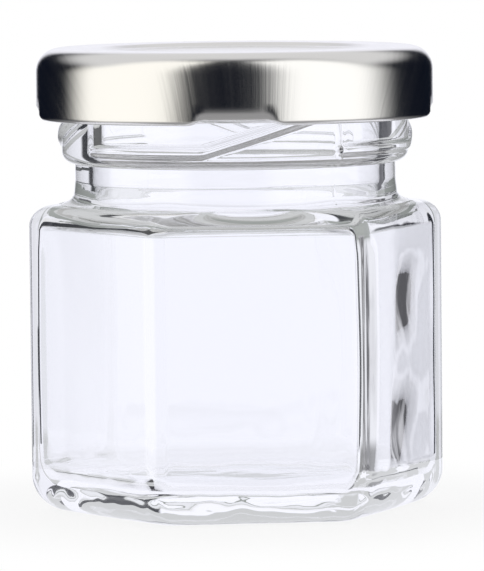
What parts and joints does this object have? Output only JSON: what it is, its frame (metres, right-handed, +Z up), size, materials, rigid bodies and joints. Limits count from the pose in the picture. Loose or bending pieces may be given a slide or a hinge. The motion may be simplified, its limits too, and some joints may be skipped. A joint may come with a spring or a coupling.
{
  "type": "spice jar",
  "caption": "Small hexagonal clear glass jar with a round neck and a satin tinplate twist-off lid, for spices, honey or other dry or soft food.",
  "frame": {"origin": "centre of the base, on the surface that the jar stands on", "axes": "+Z up along the jar's axis, through the lid; -Y out of one flat side of the body, +X towards an upright corner"},
  "size_m": [0.0482, 0.046, 0.0536],
  "materials": {
    "glass": "clear pressed soda-lime glass, fire-polished, smooth",
    "tinplate": "satin tinplate under clear lacquer, with a fine straight grain from rolling"
  },
  "bodies": {
    "root": {"jar": "glass", "lid": "tinplate"}
  },
  "joints": []
}
